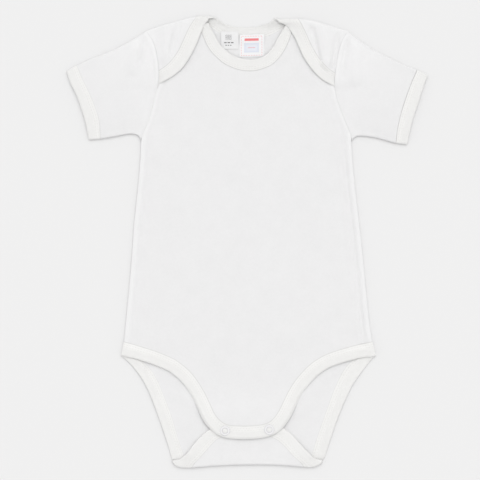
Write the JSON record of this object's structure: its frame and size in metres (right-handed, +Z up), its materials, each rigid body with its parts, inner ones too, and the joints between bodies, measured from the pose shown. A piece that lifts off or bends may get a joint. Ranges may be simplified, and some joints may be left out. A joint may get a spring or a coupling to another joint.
{
  "type": "baby onesie",
  "caption": "Short-sleeved baby bodysuit with lap shoulders, bound neck and leg edges and a press-stud crotch, laid flat with its front up.",
  "frame": {"origin": "centre of the garment's bounding rectangle on the surface it lies on", "axes": "+X to the right seen from above with the neck up, +Y towards the neck, +Z up out of the front"},
  "size_m": [0.3618, 0.4515, 0.0076],
  "materials": {
    "body_cloth": "matte white cotton interlock knit",
    "binding_cloth": "matte white cotton rib, cover-stitched",
    "press_stud": "pale enamel press stud, half gloss",
    "label_cloth": "smooth white woven label"
  },
  "bodies": {
    "root": {"back_panel": "body_cloth", "front_panel": "body_cloth", "sleeve_left": "body_cloth", "sleeve_right": "body_cloth", "cuff_left": "binding_cloth", "cuff_right": "binding_cloth", "neck_binding_front": "binding_cloth", "neck_binding_back": "binding_cloth", "leg_binding_front": "binding_cloth", "leg_binding_back": "binding_cloth", "stud_cap_left": "press_stud", "stud_cap_right": "press_stud", "stud_pair_left": "press_stud", "stud_pair_right": "press_stud", "label_small": "label_cloth", "label_square": "label_cloth"}
  },
  "joints": []
}
